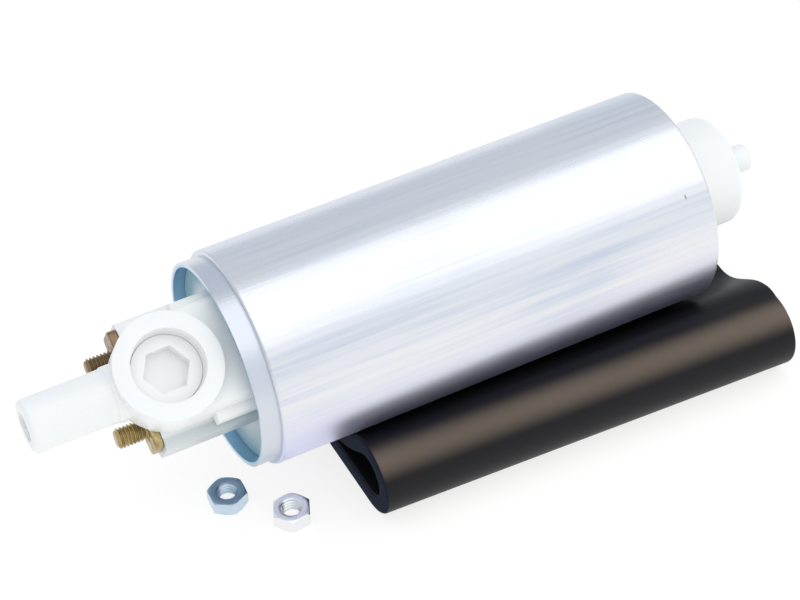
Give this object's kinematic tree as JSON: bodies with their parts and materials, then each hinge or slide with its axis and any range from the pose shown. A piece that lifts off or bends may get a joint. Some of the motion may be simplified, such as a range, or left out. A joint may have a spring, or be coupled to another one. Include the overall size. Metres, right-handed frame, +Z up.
{
  "type": "electric fuel pump",
  "caption": "In-tank electric fuel pump with a white moulded outlet cap, lying on its slipped-off black rubber sleeve beside its loose terminal nuts.",
  "frame": {"origin": "centre of the plane of the can's outlet rim", "axes": "+X along the pump towards its inlet dome, +Z up, -Y the side that the valve boss leans to"},
  "size_m": [0.1582, 0.0724, 0.0514],
  "materials": {
    "can_aluminium": "brushed along the can, satin",
    "cap_plastic": "white, slightly translucent",
    "plug_plastic": "white, slightly translucent",
    "cover_plastic": "white, slightly translucent",
    "seal_rubber": "black",
    "sleeve_rubber": "black, satin, moulded",
    "brass": "bare, slightly dull",
    "zinc_steel": "zinc plated, blue-grey",
    "bearing_steel": "ground",
    "spring_steel": "drawn",
    "core_steel": "dark, oiled",
    "rotor_steel": "sintered and ground",
    "screw_steel": "blackened",
    "pump_aluminium": "machined",
    "holder_plastic": "dark grey",
    "coupling_plastic": "brown",
    "sintered_bronze": "oil filled, dull",
    "copper": "turned",
    "winding_copper": "lacquered wire",
    "carbon": "graphite, dull",
    "ferrite": "sintered, dull"
  },
  "bodies": {
    "pump": {"can": "can_aluminium", "outlet_cap": "cap_plastic", "cap_seal": "seal_rubber", "valve_plug": "plug_plastic", "valve_seat": "brass", "valve_spring": "spring_steel", "terminal_studs": "brass", "terminal_plates": "brass", "terminal_nuts": "zinc_steel", "contact_straps": "brass", "brush_holder": "holder_plastic", "outlet_bearing": "sintered_bronze", "brush_spring_upper": "spring_steel", "brush_spring_lower": "spring_steel", "flux_ring": "core_steel", "magnet_left": "ferrite", "magnet_right": "ferrite", "magnet_clips": "spring_steel", "port_plate": "pump_aluminium", "inlet_bearing": "sintered_bronze", "rotor_ring": "rotor_steel", "rotor_spindle": "bearing_steel", "inlet_plate": "pump_aluminium", "pump_screws": "screw_steel", "inlet_seal": "seal_rubber", "inlet_cover": "cover_plastic", "rubber_sleeve": "sleeve_rubber"},
    "armature": {"shaft": "bearing_steel", "commutator": "copper", "armature_core": "core_steel", "armature_winding": "winding_copper", "drive_coupling": "coupling_plastic", "inner_rotor": "rotor_steel"},
    "ring_rotor": {"outer_rotor": "rotor_steel"},
    "ball": {"valve_ball": "bearing_steel"},
    "upper_brush": {"brush_upper": "carbon"},
    "lower_brush": {"brush_lower": "carbon"}
  },
  "joints": [
    {"name": "armature_spin", "type": "hinge", "parent": "pump", "child": "armature", "pos_m": [0, 0, 0], "axis": [1, 0, 0], "continuous": true},
    {"name": "outer_rotor_spin", "type": "hinge", "parent": "pump", "child": "ring_rotor", "pos_m": [0.08, -0.00071, 0.00109], "axis": [1, 0, 0], "continuous": true},
    {"name": "valve_lift", "type": "slide", "parent": "pump", "child": "ball", "axis": [0, -0.5446, 0.8387], "range_m": [0, 0.0016], "stiffness_N_per_m": 150, "springref_m": -0.0015, "deforming": ["valve_spring"]},
    {"name": "brush_upper_slide", "type": "slide", "parent": "pump", "child": "upper_brush", "axis": [0, -0.5446, 0.8387], "range_m": [0, 0.001], "stiffness_N_per_m": 300, "springref_m": -0.003, "deforming": ["brush_spring_upper"]},
    {"name": "brush_lower_slide", "type": "slide", "parent": "pump", "child": "lower_brush", "axis": [0, 0.5446, -0.8387], "range_m": [0, 0.001], "stiffness_N_per_m": 300, "springref_m": -0.003, "deforming": ["brush_spring_lower"]}
  ],
  "couplings": [
    {"joint": "outer_rotor_spin", "follows": "armature_spin", "ratio": 0.85714}
  ]
}
